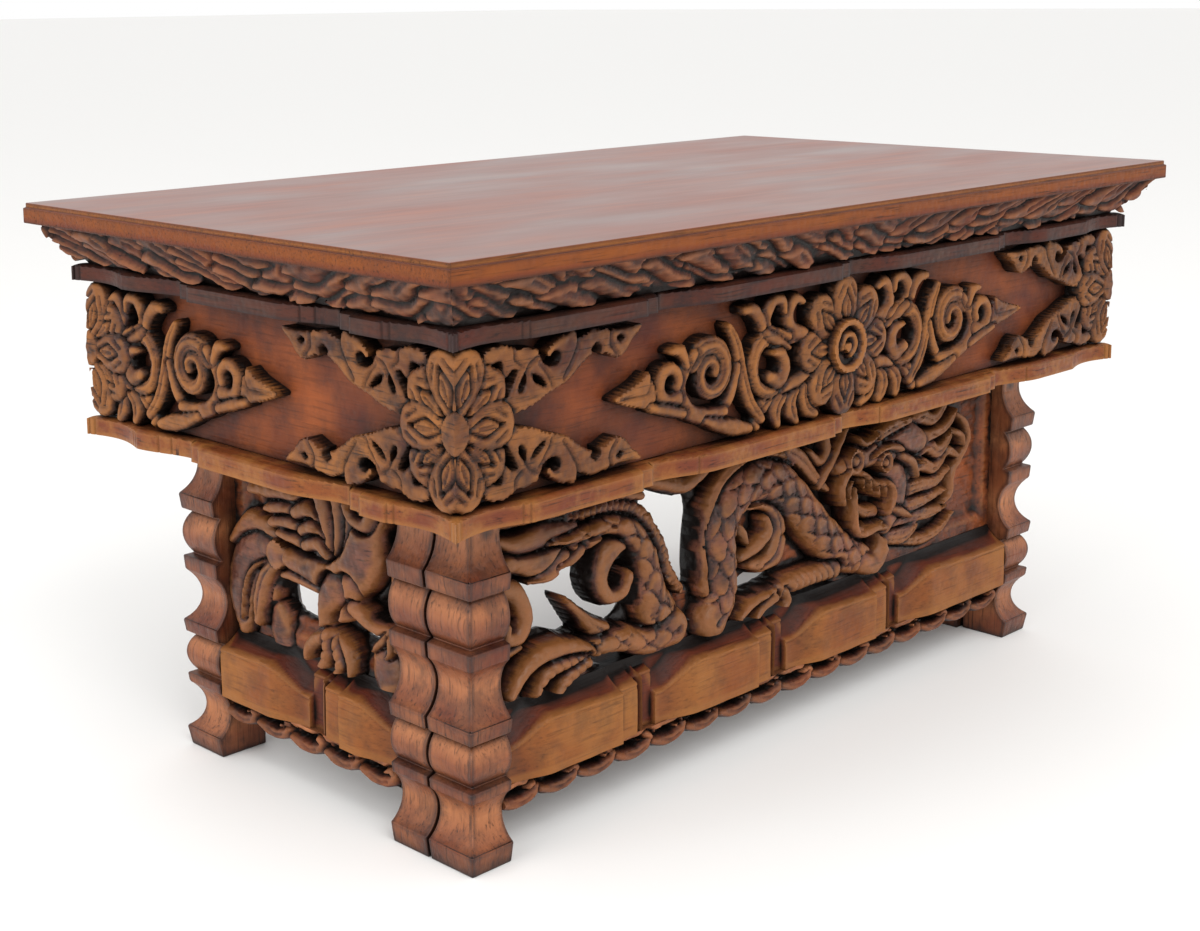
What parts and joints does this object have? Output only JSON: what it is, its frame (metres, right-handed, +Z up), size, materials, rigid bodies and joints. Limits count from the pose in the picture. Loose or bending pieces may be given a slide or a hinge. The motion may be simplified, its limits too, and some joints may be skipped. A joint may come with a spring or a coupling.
{
  "type": "chinese altar table",
  "caption": "Low carved wooden altar table: lift-off moulded top on a dragon front panel with two hinged bird side panels, open back.",
  "frame": {"origin": "centre of the table's footprint, on the floor", "axes": "+X along the length, -Y towards the dragon front, +Z up"},
  "size_m": [0.508, 0.2794, 0.254],
  "materials": {
    "polished_top": "polished",
    "golden_carving": "satin",
    "red_brown_board": "satin",
    "stained_wood": "satin",
    "hinge_steel": "satin"
  },
  "bodies": {
    "front_panel": {"dragon_panel": "stained_wood", "front_bottom_rail": "stained_wood", "front_left_leg": "stained_wood", "front_right_leg": "stained_wood", "front_skirt": "stained_wood", "front_top_rail": "stained_wood", "left_fixed_hinge_leaves": "hinge_steel", "left_fixed_leaf_screws": "hinge_steel", "left_hinge_pins": "hinge_steel", "locating_pegs": "stained_wood", "right_fixed_hinge_leaves": "hinge_steel", "right_fixed_leaf_screws": "hinge_steel", "right_hinge_pins": "hinge_steel"},
    "top": {"carving_back_left_corner": "golden_carving", "carving_back_right_corner": "golden_carving", "carving_front_centre": "golden_carving", "carving_front_left_corner": "golden_carving", "carving_front_right_corner": "golden_carving", "carving_left_front_corner": "golden_carving", "carving_left_rear_corner": "golden_carving", "carving_right_front_corner": "golden_carving", "carving_right_rear_corner": "golden_carving", "corner_glue_blocks": "stained_wood", "cornice_back": "stained_wood", "cornice_front": "stained_wood", "cornice_left": "stained_wood", "cornice_right": "stained_wood", "frieze_back": "red_brown_board", "frieze_front": "red_brown_board", "frieze_left": "red_brown_board", "frieze_right": "red_brown_board", "lower_moulding_back": "stained_wood", "lower_moulding_front": "stained_wood", "lower_moulding_left": "stained_wood", "lower_moulding_right": "stained_wood", "top_board": "polished_top", "upper_moulding_back": "stained_wood", "upper_moulding_front": "stained_wood", "upper_moulding_left": "stained_wood", "upper_moulding_right": "stained_wood"},
    "left_panel": {"left_bird_panel": "stained_wood", "left_moving_hinge_leaves": "hinge_steel", "left_moving_leaf_screws": "hinge_steel", "left_side_bottom_rail": "stained_wood", "left_side_front_leg": "stained_wood", "left_side_rear_leg": "stained_wood", "left_side_skirt": "stained_wood", "left_side_top_rail": "stained_wood"},
    "right_panel": {"right_bird_panel": "stained_wood", "right_moving_hinge_leaves": "hinge_steel", "right_moving_leaf_screws": "hinge_steel", "right_side_bottom_rail": "stained_wood", "right_side_front_leg": "stained_wood", "right_side_rear_leg": "stained_wood", "right_side_skirt": "stained_wood", "right_side_top_rail": "stained_wood"}
  },
  "joints": [
    {"name": "top_lift", "type": "slide", "parent": "front_panel", "child": "top", "axis": [0, 0, 1], "range_m": [0, 0.06]},
    {"name": "left_panel_fold", "type": "hinge", "parent": "front_panel", "child": "left_panel", "pos_m": [-0.178, -0.068, 0.09], "axis": [0, 0, -1], "range_deg": [0, 90]},
    {"name": "right_panel_fold", "type": "hinge", "parent": "front_panel", "child": "right_panel", "pos_m": [0.178, -0.068, 0.09], "axis": [0, 0, 1], "range_deg": [0, 90]}
  ]
}
